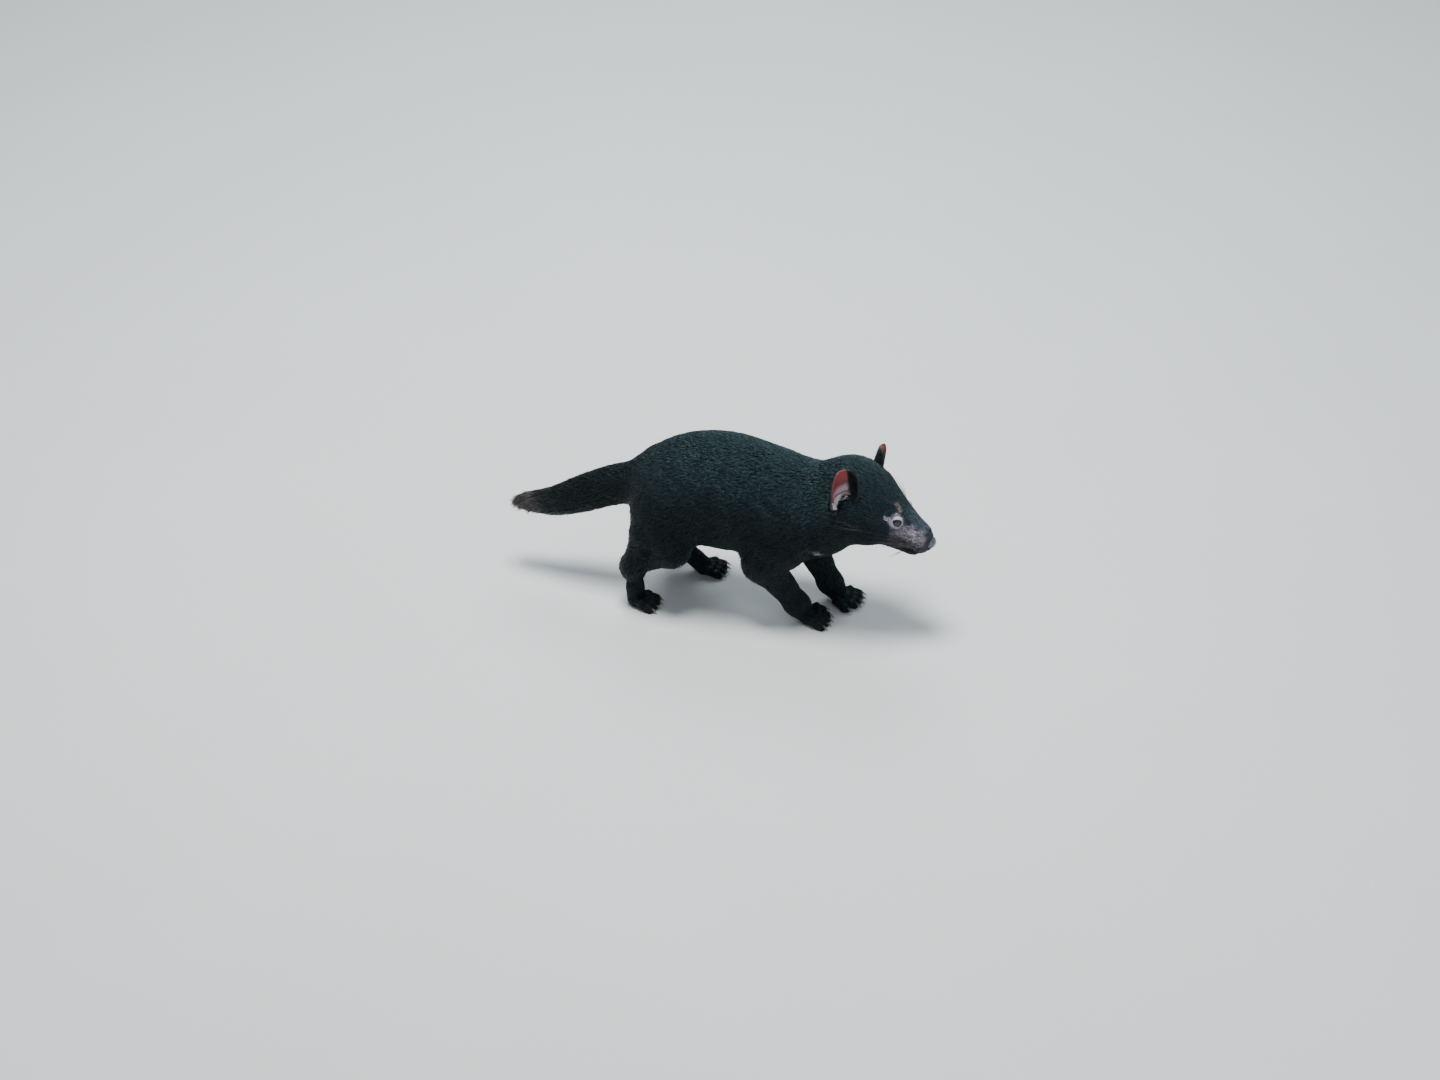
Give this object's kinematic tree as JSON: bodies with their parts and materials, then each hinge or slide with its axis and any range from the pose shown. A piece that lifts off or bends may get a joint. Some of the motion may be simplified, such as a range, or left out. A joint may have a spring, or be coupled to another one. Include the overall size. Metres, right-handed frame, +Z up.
{
  "type": "tasmanian devil",
  "caption": "Life-size still model of a young Tasmanian devil walking on all fours, with a short near-black coat, a thick furry tail, large round ears and a pale-rimmed eye.",
  "frame": {"origin": "on the floor, under the middle of the bounding box", "axes": "+X from tail to nose, +Y to the animal's left, +Z up from the soles of the paws"},
  "size_m": [0.5832, 0.1558, 0.2597],
  "materials": {
    "coat": "short sleek near-black fur",
    "ear": "thin bare skin, reddish pink inside and dark at the rim and back",
    "nose": "moist black, finely pebbled",
    "eye": "wet and glossy, near-black",
    "claw": "smooth horn, grey-brown"
  },
  "bodies": {
    "root": {"torso": "coat", "neck": "coat", "tail_root": "coat", "tail_end": "coat", "thigh_right": "coat", "shank_right": "coat", "claw_hind_right_1": "claw", "claw_hind_right_2": "claw", "claw_hind_right_3": "claw", "claw_hind_right_4": "claw", "hind_paw_right": "coat", "thigh_left": "coat", "shank_left": "coat", "claw_hind_left_1": "claw", "claw_hind_left_2": "claw", "claw_hind_left_3": "claw", "claw_hind_left_4": "claw", "hind_paw_left": "coat", "upper_arm_right": "coat", "forearm_right": "coat", "claw_fore_right_1": "claw", "claw_fore_right_2": "claw", "claw_fore_right_3": "claw", "claw_fore_right_4": "claw", "claw_fore_right_5": "claw", "fore_paw_right": "coat", "upper_arm_left": "coat", "forearm_left": "coat", "claw_fore_left_1": "claw", "claw_fore_left_2": "claw", "claw_fore_left_3": "claw", "claw_fore_left_4": "claw", "claw_fore_left_5": "claw", "fore_paw_left": "coat", "eye_left": "eye", "ear_left": "ear", "eye_right": "eye", "ear_right": "ear", "nose": "nose", "head": "coat"}
  },
  "joints": []
}
